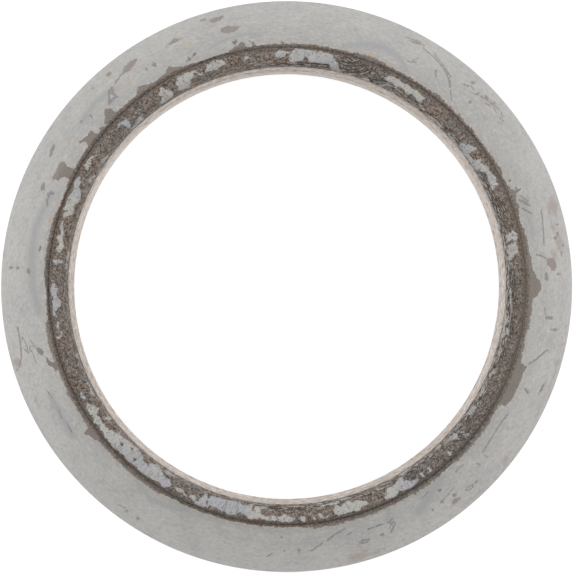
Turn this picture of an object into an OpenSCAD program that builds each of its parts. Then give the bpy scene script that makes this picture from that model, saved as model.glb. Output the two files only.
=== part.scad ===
// Exhaust gasket: knitted wire and filler, wound up and die-pressed into one solid ring.
// The flat big end lies at z = 0, and the ball-shaped sealing face narrows upwards to the neck.

/* [Ring] */
// Diameter of the bore, which slides over the pipe
bore_d = 60; // [40:0.5:90]
// Height from the flat big end to the flat edge of the neck
ring_h = 16; // [12:0.5:24]

/* [Big end] */
// How far the sealing face spreads outwards, from the neck to the rim
seat_spread = 7.5; // [5.5:0.1:12]
// Height of the straight rim below the sealing face
rim_h = 2.6; // [1.5:0.1:4]
// Radius that rounds the rim's lower edge
rim_round = 0.7; // [0.2:0.1:1.2]
// Radius that rounds the bore's lower edge
bore_low_round = 0.4; // [0.2:0.1:1]

/* [Small end] */
// Thickness of the neck around the bore
neck_wall = 2.7; // [2.2:0.1:5]
// Height of the neck above the end of the sealing face
neck_rise = 1.2; // [0.8:0.1:3]
// Radius that rounds the neck's outer edge
neck_round = 0.5; // [0.2:0.1:1]
// Radius that rounds the neck into the bore
bore_top_round = 1.4; // [0.4:0.1:2]
// Radius of the crease that the die leaves at the foot of the neck
crease_round = 0.25; // [0.1:0.05:0.4]

/* [Hidden] */

bore_r = bore_d / 2;
neck_r = bore_r + neck_wall;
rim_r = neck_r + seat_spread;
seat_top_z = ring_h - neck_rise;
// The sealing face is part of a ball centred on the axis, which passes through
// the top edge of the rim and the foot of the neck
seat_centre_z = (pow(rim_r, 2) + pow(rim_h, 2) - pow(neck_r, 2) - pow(seat_top_z, 2))
    / (2 * (rim_h - seat_top_z));
seat_r = norm([rim_r, rim_h - seat_centre_z]);
// Reach of a cutter past the surface that it trims
past = 1;
coat_grey = [0.70, 0.69, 0.67];

// What a rounding takes off a corner of the section: x and z give the corner,
// and side_x and side_z, each 1 or -1, point from it into the solid
module round_off(x, z, r, side_x, side_z) {
    translate([x, z]) scale([side_x, side_z]) difference() {
        translate([-past, -past]) square(r + past);
        translate([r, r]) circle(r = r, $fn = 64);
    }
}

// Half of the ring's section, with the axis at x = 0
module ring_section() {
    difference() {
        union() {
            intersection() {
                translate([bore_r, 0]) square([rim_r - bore_r, seat_top_z]);
                translate([0, seat_centre_z]) circle(r = seat_r, $fn = 360);
            }
            translate([bore_r, 0]) square([neck_wall, ring_h]);
        }
        round_off(rim_r, 0, rim_round, -1, 1);
        round_off(bore_r, 0, bore_low_round, 1, 1);
        round_off(bore_r, ring_h, bore_top_round, 1, -1);
        round_off(neck_r, ring_h, neck_round, -1, -1);
        translate([neck_r, seat_top_z]) circle(r = crease_round, $fn = 48);
    }
}

module gasket_ring() {
    color(coat_grey) rotate_extrude($fn = 240) ring_section();
}

gasket_ring();
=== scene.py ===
import math

import bpy
import numpy as np
from mathutils import Matrix, Vector


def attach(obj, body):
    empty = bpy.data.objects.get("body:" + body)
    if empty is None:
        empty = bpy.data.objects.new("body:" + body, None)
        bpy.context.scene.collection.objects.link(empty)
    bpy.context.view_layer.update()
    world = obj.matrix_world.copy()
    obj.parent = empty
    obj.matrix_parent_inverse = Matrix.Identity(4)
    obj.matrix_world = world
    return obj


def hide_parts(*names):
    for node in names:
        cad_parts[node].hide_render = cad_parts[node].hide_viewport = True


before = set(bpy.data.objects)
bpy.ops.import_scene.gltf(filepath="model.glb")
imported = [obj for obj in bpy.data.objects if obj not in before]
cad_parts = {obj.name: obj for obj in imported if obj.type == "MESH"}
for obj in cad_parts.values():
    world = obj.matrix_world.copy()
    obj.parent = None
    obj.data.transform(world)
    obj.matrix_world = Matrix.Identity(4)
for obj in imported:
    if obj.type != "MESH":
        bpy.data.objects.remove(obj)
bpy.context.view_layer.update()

# The pressed ring. A band of knitted steel wire, filled with mica and graphite, is wound up and
# pressed in a die into one hard ring. A thin grey coating covers its sealing face; use has worn
# the coating through along the neck, and left only flakes of it on the flat edge of the neck.
MM = 0.001
bore_r = 30.0
neck_r = 32.7
rim_r = 40.2
ring_h = 16.0
rim_h = 2.6
rim_round = 0.7
bore_low_round = 0.4
bore_top_round = 1.4
neck_round = 0.5
crease_round = 0.25
seat_top_z = 14.8
seat_centre_z = (rim_r**2 + rim_h**2 - neck_r**2 - seat_top_z**2) / (2 * (rim_h - seat_top_z))
seat_r = math.hypot(rim_r, rim_h - seat_centre_z)
crease_end = math.degrees(math.atan2(-neck_r, seat_top_z - seat_centre_z)) + 360
columns = 1200


def arc(r, z, radius, start, end, steps):
    """Points of the section on a circle about (r, z), from one angle to another in degrees,
    without the first one."""
    turn = np.radians(np.linspace(start, end, steps + 1)[1:])
    return np.stack([r + radius * np.cos(turn), z + radius * np.sin(turn)], axis=1)


def straight(r0, z0, r1, z1, steps):
    """Evenly spaced points of the section on a straight line, without the first one."""
    share = np.linspace(0, 1, steps + 1)[1:, None]
    return (1 - share) * np.array([[r0, z0]]) + share * np.array([[r1, z1]])


def seat(r0, r1, steps):
    """Points of the section on the ball-shaped face, evenly spaced in radius:
    z is the ball's centre plus the square root of ball radius squared less r squared."""
    r = np.linspace(r0, r1, steps + 1)[1:]
    return np.stack([r, seat_centre_z + np.sqrt(seat_r**2 - r**2)], axis=1)


seat_start_r = neck_r + crease_round * math.cos(math.radians(crease_end))
# Each stretch of the section, in order up the bore, over the neck and down the sealing face,
# with the number of columns that its rows have round the ring
stretches = [
    ("bore", columns // 4, arc(bore_r + bore_low_round, bore_low_round, bore_low_round, 270, 180, 3)),
    ("bore", columns // 2, straight(bore_r, bore_low_round, bore_r, 13.4, 8)),
    ("bore", columns, straight(bore_r, 13.4, bore_r, ring_h - bore_top_round, 3)),
    ("land", columns, arc(bore_r + bore_top_round, ring_h - bore_top_round, bore_top_round, 180, 90, 11)),
    ("land", columns, straight(bore_r + bore_top_round, ring_h, neck_r - neck_round, ring_h, 5)),
    ("land", columns, arc(neck_r - neck_round, ring_h - neck_round, neck_round, 90, 0, 4)),
    ("land", columns, straight(neck_r, ring_h - neck_round, neck_r, seat_top_z + crease_round, 2)),
    ("crease", columns, arc(neck_r, seat_top_z, crease_round, 90, crease_end, 7)),
    ("seat", columns, seat(seat_start_r, rim_r, 38)),
    ("rim", columns // 2, straight(rim_r, rim_h, rim_r, rim_round, 3)),
    ("rim", columns // 2, arc(rim_r - rim_round, rim_round, rim_round, 0, -90, 4)),
    ("base", columns // 4, straight(rim_r - rim_round, 0, bore_r + bore_low_round, 0, 10)),
]
section = np.concatenate([points for _, _, points in stretches])
row_columns = np.concatenate([[count] * len(points) for _, count, points in stretches])
row_place = np.concatenate([[place] * len(points) for place, _, points in stretches])
row_step = np.linalg.norm(section - np.roll(section, 1, axis=0), axis=1)
row_s = np.cumsum(row_step)
ahead = np.roll(section, -1, axis=0) - np.roll(section, 1, axis=0)
ahead /= np.linalg.norm(ahead, axis=1, keepdims=True)
row_out = np.stack([-ahead[:, 1], ahead[:, 0]], axis=1)

row_first = np.concatenate([[0], np.cumsum(row_columns)[:-1]])
row_of = np.repeat(np.arange(len(section)), row_columns)
turn = (np.arange(row_columns.sum()) - row_first[row_of]) / row_columns[row_of] * 2 * math.pi
plan_r, height = section[row_of].T
place = row_place[row_of]
around = np.stack([np.cos(turn), np.sin(turn)], axis=1)
surface = np.column_stack([around * plan_r[:, None], height])
outward = np.column_stack([around * row_out[row_of, :1], row_out[row_of, 1]])


def grain(points, cell, seed):
    """Smooth random height from -1 to 1: every corner of a cubic lattice has a scrambled value,
    and a point takes a smoothed mix of the eight corners round it."""
    at = points / cell
    corner = np.floor(at).astype(np.int64)
    share = at - corner
    share = share * share * (3 - 2 * share)
    total = np.zeros(len(points))
    for step in np.ndindex(2, 2, 2):
        key = (corner + step) @ np.array([73856093, 19349663, 83492791]) + seed * 7919
        key = (key ^ (key >> 15)) * 2246822519 & 0xFFFFFFFF
        key = (key ^ (key >> 13)) * 3266489917 & 0xFFFFFFFF
        value = ((key ^ (key >> 16)) & 0xFFFF) / 32767.5 - 1
        total += value * np.prod(np.where(step, share, 1 - share), axis=1)
    return total


# Worn places are given as the photo shows them: the angle round the ring in degrees, and the
# distance from the ring's centre in the photo's pixels. So each point of the surface is first
# projected as the camera sees it, from its height above the big end.
camera_at = (-2.4, -4.3, 467.0)
photo_scale = 7.062
px = 1 / 7.2
nearer = camera_at[2] / (camera_at[2] - height)
seen_x, seen_y = [((surface[:, i] - camera_at[i]) * nearer + camera_at[i]) * photo_scale for i in (0, 1)]
seen_deg = np.degrees(np.arctan2(seen_y, seen_x)) % 360
seen_r = np.hypot(seen_x, seen_y)
on_land = place == "land"
on_seat = (place == "seat") | (place == "rim")


def angle_from(middle):
    """Degrees round the ring from a given angle, between -180 and 180."""
    return (seen_deg - middle + 180) % 360 - 180


def side_distances(x, y, corners, closed=True):
    """Yields, for each side of an outline, the vector from its nearest point and its direction."""
    ends = np.roll(corners, -1, axis=0) if closed else corners[1:]
    for (ax, ay), (bx, by) in zip(corners, ends):
        dx, dy = bx - ax, by - ay
        share = np.clip(((x - ax) * dx + (y - ay) * dy) / max(dx * dx + dy * dy, 1e-9), 0, 1)
        yield x - ax - share * dx, y - ay - share * dy, (ax, ay, bx, by, dx, dy)


def near_outline(outline, reach):
    """The corners in pixels about an outline's middle, and the points within reach of them."""
    corners = np.array(outline, float)
    middle, radius = corners.mean(axis=0)
    corners[:, 0] = np.radians(corners[:, 0] - middle) * radius
    x = np.radians(angle_from(middle)) * radius
    low, high = corners.min(axis=0) - reach, corners.max(axis=0) + reach
    near = (x > low[0]) & (x < high[0]) & (seen_r > low[1]) & (seen_r < high[1])
    return corners, x, near


def outline_depth(outline, field):
    """Raises field to the depth inside a closed outline, in millimetres, below 0 outside it: the
    distance to the nearest side, with its sign from how many sides a ray from the point crosses."""
    corners, x, near = near_outline(outline, 6.0)
    x, y = x[near], seen_r[near]
    nearest = np.full(len(x), 9.0)
    inside = np.zeros(len(x), bool)
    for ox, oy, (ax, ay, bx, by, dx, dy) in side_distances(x, y, corners):
        nearest = np.minimum(nearest, np.hypot(ox, oy))
        if ay != by:
            inside ^= ((ay > y) != (by > y)) & (x < dx * (y - ay) / dy + ax)
    field[near] = np.maximum(field[near], np.where(inside, nearest, -nearest) * px)


def worn_field(outlines):
    """The greatest depth inside any of several outlines."""
    field = np.full(len(turn), -0.8)
    for outline in outlines:
        outline_depth(outline, field)
    return field


def spot_field(spots):
    """The greatest depth inside round or oval spots: angle, radius, half length, half width,
    tilt in degrees."""
    field = np.full(len(turn), -0.8)
    for angle, radius, half_length, half_width, tilt in spots:
        x, y = np.radians(angle_from(angle)) * radius, seen_r - radius
        c, s = math.cos(math.radians(tilt)), math.sin(math.radians(tilt))
        reach = np.hypot((x * c + y * s) / half_length, (y * c - x * s) / half_width)
        field = np.maximum(field, (1 - reach) * min(half_length, half_width) * px)
    return field


# Tears where the coating is gone above the crease
tears = [
    [(356.5, 243), (358, 252), (359.5, 254.5), (361, 254.3), (362.2, 250.5), (364.3, 246.5), (370, 245.6),
     (373.5, 244.7), (376, 242.5), (376, 238), (356.5, 238)],
    [(17.3, 241), (18.2, 246), (21, 246), (22, 248), (22.6, 254.8), (22.9, 249), (23.4, 245.5), (25, 243),
     (25, 238), (17.3, 238)],
    [(26.5, 242), (28, 244.5), (29, 246.5), (29.6, 244.5), (33, 243.5), (33, 239), (26.5, 239)],
    [(44.6, 242), (45, 246.5), (45.4, 242)], [(47.2, 242), (47.7, 246.5), (48.2, 242)],
    [(48.8, 242), (49.6, 245), (52.3, 245.3), (53.2, 242)],
    [(64, 242.5), (67, 244.8), (70, 245.3), (73, 245), (75.5, 242.5), (70, 240)],
    [(78, 242), (80, 243.6), (85, 243.8), (87.5, 242)],
    [(90.2, 242), (90.6, 244.5), (90.9, 246.5), (91.9, 247), (91.3, 245), (91.4, 242)],
    [(97, 242), (97.5, 245.5), (98.3, 246.8), (98.1, 245), (98.5, 242)],
    [(99.3, 242), (99.8, 246.5), (100.3, 249), (100.9, 248.5), (101.5, 246), (102.5, 245), (103.5, 242)],
    [(114.8, 241), (115.5, 244.5), (117.5, 248), (118.2, 252), (118.7, 249), (119.4, 247), (120.2, 245.3),
     (123.3, 244.3), (124.5, 245.8), (126.3, 249.6), (127.4, 247), (128.5, 242)],
    [(134, 242), (134.6, 246), (134.7, 250), (135.3, 254), (135.8, 254.4), (137, 248.8), (138, 246.5), (138.3, 242)],
    [(139, 242), (139.4, 245.3), (140, 245.3), (140.4, 242)],
    [(141, 242), (141.4, 245.5), (141.2, 248.5), (141.6, 250.2), (143, 250.3), (144.3, 252.8), (145.2, 252.5),
     (145.4, 250.5), (144.6, 249.8), (144.2, 246.5), (144.8, 242)],
    [(151, 242), (151.3, 250.5), (150.6, 256), (151.3, 258.8), (153, 258.3), (154.5, 258.8), (156, 257.8),
     (155.3, 254.8), (155, 252), (154, 250), (153.6, 247), (153.8, 242)],
    [(187.8, 241.5), (190, 244.3), (194, 244.8), (197, 244.5), (199, 242)],
    [(198.2, 242), (197.9, 246), (197.4, 249), (196.3, 250.2), (197.3, 251.6), (198.2, 251), (198.7, 249),
     (199.6, 246), (200.5, 242)],
    [(205.6, 241), (206, 245.8), (206.4, 243.5), (208.5, 243.3), (209, 240)],
    [(214.8, 240), (215.6, 245), (215.8, 248.5), (216.3, 250.4), (216.6, 248), (217.6, 246.5), (218.7, 245.8),
     (219.8, 240)],
    [(223.5, 240), (224.5, 242.8), (226.8, 243), (227.6, 240)],
    [(275.8, 240), (276.3, 244), (277.5, 244.2), (278, 240)],
    [(301, 242), (301.7, 246.2), (302.3, 244), (304, 244.3), (307.5, 244.6), (308.3, 242)],
    [(313.9, 242), (314.5, 245.8), (315.1, 244), (318, 244.5), (323, 245), (327, 244.5), (328.5, 242)],
    [(329.5, 240), (330.6, 245), (331.2, 246.2), (330.9, 252.8), (331.6, 250.4), (332.6, 250.8), (333.2, 252.2),
     (336, 252.6), (338, 252), (341.4, 252.9), (341.9, 250), (341.8, 247.6), (343.4, 245), (349, 244.6),
     (350, 245.8), (357, 247), (357, 240)],
]
# Patches of the sealing face where the coating is gone
bare_patches = [
    [(3.2, 268.5), (3.8, 271), (5, 270.5), (6.2, 268.5), (6.3, 264), (5.8, 261.5), (4.6, 261), (4.3, 264), (3.4, 265.5)],
    [(1.2, 260), (1.6, 263), (2.4, 262), (3.2, 261.5), (3, 259.5), (2, 258), (1.4, 258.5)],
    [(100, 264), (101, 266.3), (102.2, 266.8), (103, 268.5), (104.3, 266.5), (104.6, 263.5), (103.5, 260.8),
     (101.5, 259.8), (100.8, 261.5)],
    [(102.8, 280.5), (103.8, 278.5), (105.5, 279), (106.4, 277), (105.3, 273.5), (104, 274.5), (103.2, 277)],
    [(106.8, 279), (107.3, 281.3), (108.2, 280.3), (107.6, 278.3)],
    [(112.5, 270), (113.5, 270.8), (114.3, 272.8), (115.2, 271.3), (116.7, 270.3), (115.5, 268.3), (113.8, 268.6)],
    [(123, 273), (124, 274.5), (126, 274.3), (127, 272), (127.2, 270.3), (129, 269), (131.2, 264), (129.5, 266.3),
     (127.5, 268), (126, 267), (124.5, 269)],
    [(148.3, 274), (149, 274), (150.3, 272.8), (151.3, 270.5), (151.6, 269), (149.8, 269.8), (148.6, 270.8)],
    [(156.7, 263.5), (157.3, 265.3), (158.4, 265), (158.9, 263), (158.2, 261), (157.2, 261.5)],
    [(175.7, 258.8), (176.3, 260), (177.3, 259), (177.2, 257.5), (176.5, 256.5)],
    [(193.5, 259.5), (194.6, 258), (195.5, 256), (195.9, 253), (195, 252), (194.3, 253.3), (193.9, 256)],
    [(292.5, 267), (293.3, 268), (294.6, 262), (295.4, 259), (294.3, 260)],
    [(313.4, 272), (314, 273.5), (314.8, 272.2), (314, 271)],
    [(336.3, 274), (337.5, 275.8), (340.3, 277), (340, 275.5), (337.6, 273.8)],
]
# Flakes of the coating that still cling to the flat edge of the neck
flakes = [
    [(5.7, 226.6), (6.3, 225.2), (7.3, 226.2), (7.0, 223.8), (7.6, 222.4), (6.9, 220.8), (6.2, 223.2), (5.6, 224)],
    [(7.8, 234.2), (8.3, 232.6), (8.5, 234.8), (9.1, 233.2), (9.6, 235.4), (10.1, 232.8), (11, 233.6), (10.5, 230.6),
     (11.1, 228.9), (10.3, 227.4), (11, 225.6), (10.2, 224.2), (9.3, 225.1), (8.9, 222.8), (8.2, 224.8), (7.4, 223.8),
     (7.1, 225.4), (8, 227), (7.5, 229.2), (8, 231.2)],
    [(11.5, 234.4), (12, 236), (12.4, 233.4), (12.9, 236.2), (13.6, 235.2), (14, 232.4), (13.3, 230.7), (14.1, 229.2),
     (13.2, 227.5), (13.8, 225.4), (12.9, 224), (12.2, 226), (11.6, 224.4), (11.3, 227.2), (11.9, 229.4), (11.2, 231.8)],
    [(26, 235.5), (26.5, 234), (27.5, 236), (28.5, 235.5), (29.8, 234), (30, 230), (28, 228.5), (26.5, 227),
     (25.6, 224.5), (24.8, 226), (25.6, 232)],
    [(29.8, 234.5), (31, 234.5), (32.4, 230), (33.2, 233), (33.8, 231), (34.4, 225), (36, 224.5), (36, 235),
     (36.8, 233), (37.8, 232.8), (38.5, 231), (38.2, 227.5), (39.2, 227), (39.3, 223), (37, 221.5), (31.7, 221.5),
     (31, 224), (30.4, 225)],
    [(40.7, 221), (41.6, 222.8), (42.5, 221)], [(46, 220.5), (46.4, 223), (47.4, 221)],
    [(48, 220.8), (48.8, 223), (50.4, 222.8), (50.6, 221)], [(50.5, 226), (51, 227.5), (51.8, 228), (51.3, 226)],
    [(53.5, 234.8), (54.5, 233.8), (56, 234.8), (58, 235.5), (60, 234.8), (63.3, 235.5), (64.6, 233), (64.8, 230.5),
     (63.5, 227.8), (62, 228.5), (61, 229.5), (59, 229), (58, 226.5), (57.3, 229), (56, 228.5), (55, 226),
     (54, 228), (54.4, 230)],
    [(61, 228), (64, 226), (66, 220.5), (64.8, 220.5), (63, 224)],
    [(68, 221.5), (68.8, 223.6), (70, 222), (70, 220.5), (68, 220.5)],
    [(77.3, 238.3), (78, 236.5), (80.3, 237.8), (84, 238), (87.8, 238), (88.6, 236), (89.2, 232), (89.2, 224.5),
     (88.3, 223), (86.3, 226), (84, 225), (80.5, 225.5), (79.2, 226), (78.6, 223), (77.8, 220.8), (76.3, 222),
     (77.2, 230), (78.2, 233), (78.6, 235.5), (77.6, 235)],
    [(89.5, 234.5), (91.5, 236.5), (92.7, 235.5), (93.2, 233), (92.8, 230), (91.8, 229.5), (90.5, 230)],
    [(99.3, 232.5), (100, 233.5), (101, 231), (100.2, 229.3)], [(97.5, 223.5), (98.5, 225.5), (99.3, 223)],
    [(105, 233.5), (105.8, 236), (107.2, 236.8), (108.6, 237), (109.8, 236), (110.8, 230), (108.8, 228.5),
     (108, 227.5), (107, 229), (105.9, 230), (105.5, 232)],
    [(111.3, 227.5), (111.8, 229), (113.1, 235.5), (113.6, 234), (112.2, 228.5)],
    [(113, 236.5), (114.2, 235.5), (115, 236), (117.3, 236), (118, 233.5), (118.7, 231.5), (118.5, 227), (119.2, 223),
     (116.8, 221.5), (115.8, 221.5), (114.9, 226.5), (113.6, 233)],
    [(122.2, 236.5), (122.6, 234), (123.9, 231), (123.3, 227), (124.5, 222.8), (124.2, 221), (120.3, 221),
     (120.1, 225), (120.8, 231), (121.4, 229.5), (121.9, 232)],
    [(131.2, 225.3), (133, 220.8), (134.3, 221.2), (134.5, 219.5), (130, 220), (130.5, 222.5)],
    [(130.8, 236.3), (131, 235), (130.8, 233.5), (130.5, 235)],
    [(133.6, 232.3), (134.5, 233), (135.5, 233.5), (136, 234.8), (136.8, 232), (135.4, 231.5), (135.3, 228),
     (134.8, 220), (134.1, 225), (133.8, 228)],
    [(143.2, 222.3), (144, 221.8), (145.5, 223.7), (146.3, 222.5), (146.2, 221), (144, 220.3)],
    [(146.1, 235.5), (146.8, 235.8), (149.2, 235), (149.5, 232.5), (149.4, 230), (148, 231.5), (146.2, 233)],
    [(151.8, 227.5), (152.3, 222), (151.8, 220.8), (151.2, 222.3), (150, 220.6), (150, 222.2), (151.6, 224.2)],
    [(151.8, 236), (153, 236.7), (155.5, 234.8), (157, 235), (159.5, 236.8), (160.8, 236.2), (161.1, 234), (163.2, 235.5),
     (162.4, 230), (161.2, 224.8), (159, 228), (157.8, 223.5), (157, 223.2), (155.2, 227.5), (154.2, 231),
     (153.2, 229.8), (152, 233.5)],
    [(163.7, 233), (164.8, 235.5), (167, 231.5), (168, 235), (169, 231.8), (170.8, 234), (171.6, 230.8), (171.4, 228.3),
     (169.8, 226.5), (168.8, 228), (166.2, 229.5), (164.6, 231.5)],
    [(173.4, 235.3), (174, 235.3), (174.4, 233), (175.5, 235.5), (174.3, 231), (173.7, 224.3), (173.3, 229)],
    [(170.8, 221), (172, 221.8), (175, 221.5), (175.4, 220), (173, 219.4), (171, 219.6)],
    [(177.8, 236), (178.6, 236.5), (179.2, 234), (181.3, 236.3), (182.2, 236), (182.6, 233.5), (184, 235.3),
     (185.9, 234.8), (186.1, 231.5), (185, 226.5), (184, 225), (182.4, 229), (181.5, 230.5), (180.6, 229), (178.4, 233.5)],
    [(186.3, 235.2), (187.2, 235), (187.6, 232.5), (187.4, 230.5), (186.2, 233.5)],
    [(188.9, 232.5), (190, 233), (189.8, 231.2), (189, 231)],
    [(190.4, 232.3), (192.2, 232.8), (192.6, 235.5), (193, 235), (192.6, 230.5), (191.3, 229.5), (191.8, 231.3)],
    [(197.4, 219.8), (198, 221.2), (199.5, 220.8), (199.7, 219)],
    [(207.2, 230.5), (207.5, 232.5), (208.2, 233.5), (209.1, 232), (209, 230), (208, 231)],
    [(205, 221), (205.8, 222.8), (206.3, 221), (207.4, 222.5), (209.3, 222), (209.8, 220), (206, 219.5)],
    [(210.5, 230.5), (211, 233.5), (212.4, 234.3), (214.3, 233.5), (215.2, 235.6), (216, 234.3), (218.5, 234.5),
     (219.7, 237), (220.5, 236), (223, 237), (225, 234.5), (228.5, 236), (229.3, 234.5), (230.2, 236), (233.5, 236),
     (236.5, 234), (238.6, 235.8), (240, 230), (238.8, 225.2), (237.5, 225.5), (235.5, 222), (234, 219.5),
     (232.6, 222.5), (232.2, 225.5), (231, 225.8), (229.5, 221.5), (228, 219.8), (224.5, 220), (221.9, 223.5),
     (221.2, 220.8), (220.2, 225), (217.6, 228.5), (214, 228.2), (213.5, 226.5), (213.1, 221.8), (212.2, 225.5)],
    [(215.6, 225.5), (216.1, 225), (217.2, 219.8), (216.2, 219.5)],
    [(236.2, 220), (237.5, 222), (238.2, 221), (239.5, 219.5), (236.5, 218.8)],
    [(240.7, 230), (241.2, 231.5), (243, 231), (244.3, 232.2), (243.8, 229.5), (243, 227.5), (241.8, 228.8)],
    [(245, 231.5), (245.8, 233), (247, 232.5), (246.9, 229.5), (246.2, 228.5), (245.4, 229.5)],
    [(247, 234.5), (247.8, 236), (249.2, 236), (249.9, 233.5), (249.5, 225), (249.2, 221.5), (248.6, 221),
     (248.4, 226.5), (247.5, 231)],
    [(250, 235.5), (250.4, 232.5), (252.3, 232), (256.5, 235), (258.5, 231.5), (260.2, 232.8), (260.8, 235.3),
     (262.8, 235.5), (263.3, 233), (265.7, 235), (267.3, 234), (267.2, 230.5), (266.4, 229), (265.2, 231.2),
     (263.5, 228.5), (263.4, 223.5), (264.8, 223), (265.2, 221), (264.2, 219.5), (262, 222), (261.3, 226.5),
     (260.8, 220.8), (258.5, 221.5), (257.5, 220.3), (252.5, 221.3), (250, 222.5), (249.9, 226)],
    [(267.4, 234.5), (269, 236), (271.6, 235.2), (272.2, 233), (271.8, 231), (269.8, 228.7), (268.9, 228.8), (267.7, 230.5)],
    [(272.8, 231), (273.4, 233.5), (274.3, 236), (274.7, 235), (274.6, 231.5), (274, 230.2)],
    [(275.6, 229), (276.2, 230.5), (276.8, 234.5), (277, 232.5), (276.6, 229.5), (276, 228.4)],
    [(277.7, 229), (277.8, 231.5), (278.3, 234.5), (279, 234.8), (279.3, 232.5), (278.7, 229.5), (278.2, 227.8)],
    [(279.7, 234.8), (280.3, 234), (281.7, 229.5), (282, 233.8), (284.6, 235), (286.5, 233.5), (288.4, 236.5),
     (288.6, 233.5), (290.6, 231.7), (290.3, 228.5), (288, 224.8), (286.8, 225), (285.8, 221.8), (285.2, 222.5),
     (284, 226), (282.8, 223.5), (281.9, 228.5), (280.6, 231.5)],
    [(278.5, 221.5), (279.5, 222.2), (283.5, 221.5), (286.5, 219.2), (285, 218.8), (283, 220), (279, 220.3)],
    [(295, 233), (295.6, 236.5), (297, 236.8), (298.8, 234), (301, 236.5), (304.2, 236.3), (304, 233.5), (303.6, 231.5),
     (302.3, 231), (301.2, 226.5), (301.2, 222.5), (299.5, 223), (297.3, 226.5), (296.3, 225), (295.5, 229.5)],
    [(307.6, 234.5), (307.9, 235), (308.4, 230), (308.3, 228), (307.9, 230)], [(305.4, 233.5), (306, 234), (306.3, 230)],
    [(309.3, 228), (310.4, 232), (310.7, 231.5), (309.8, 228)],
    [(313.7, 234.8), (314.3, 235.3), (314.9, 234), (314.2, 230), (313.9, 232)],
    [(312, 220.2), (312.8, 221.9), (314.2, 221.4), (314.8, 219.6), (312.6, 219.2)],
    [(300.8, 219.2), (302.5, 220.4), (304.4, 219.6), (304, 218.6)], [(305.5, 229.5), (305.9, 235), (306.3, 230)],
    [(315.8, 223.5), (318.6, 222.5), (319, 224.5), (318.4, 232), (318, 227.5), (316.4, 224.8)],
    [(319.3, 223.5), (319.8, 229.5), (320.8, 236), (321.1, 235), (320.6, 229), (319.8, 222.5)],
    [(324.5, 221), (325.5, 223.5), (326.9, 224.8), (327.6, 225), (327.9, 222.3), (326, 220.3)],
    [(330.3, 222.5), (331.5, 224.3), (332.3, 222.8), (333.8, 220.3), (330.5, 220.3)],
    [(336.1, 220.8), (336.7, 223), (337.5, 225), (338.6, 222.5), (337.3, 220.5)],
    [(346.3, 219.8), (346.9, 222.6), (347.8, 225.5), (348.6, 226.4), (349.2, 224), (350.3, 222.4), (352.5, 221.6),
     (355, 221.2), (359, 220.4), (359.5, 219.2), (352, 219.2)],
]
# Holes and bays in those flakes
flake_holes = [
    [(84.7, 226), (84.8, 230), (85.4, 231), (85.5, 226)], [(80, 227), (80.2, 229), (80.6, 227)],
    [(106.7, 233), (106.9, 234.3), (107.1, 233)], [(34.1, 226), (34.6, 233), (35.8, 233), (36, 226)],
    [(212, 230), (212.3, 231.5), (212.6, 230)], [(216.5, 232.3), (216.7, 234), (216.9, 232.5)],
    [(223.1, 226), (223.3, 229), (224.1, 229), (224.2, 226)], [(228.3, 228.5), (228.4, 232.5), (229.1, 231), (229, 228.5)],
    [(225.8, 223), (226, 225.2), (226.7, 225), (226.8, 223)], [(255.6, 231), (255.9, 232.3), (256.2, 231)],
    [(258.9, 223.5), (259.1, 225), (259.5, 223.8)], [(283.8, 222), (284.2, 225), (285, 224.5), (284.9, 222)],
]
edge_px = np.full(len(turn), 243.3)
for start, end in ((104, 113), (154, 162), (179, 188), (240, 275)):
    half = (end - start) / 2
    edge_px -= 2.3 * np.interp(np.abs(angle_from((start + end) / 2)), [half - 2, half + 2], [1, 0])
coat_gone = np.maximum(np.clip((edge_px - seen_r) * px, -0.8, 0.8), worn_field(tears))
coat_gone = np.maximum(coat_gone, worn_field(bare_patches))
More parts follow.
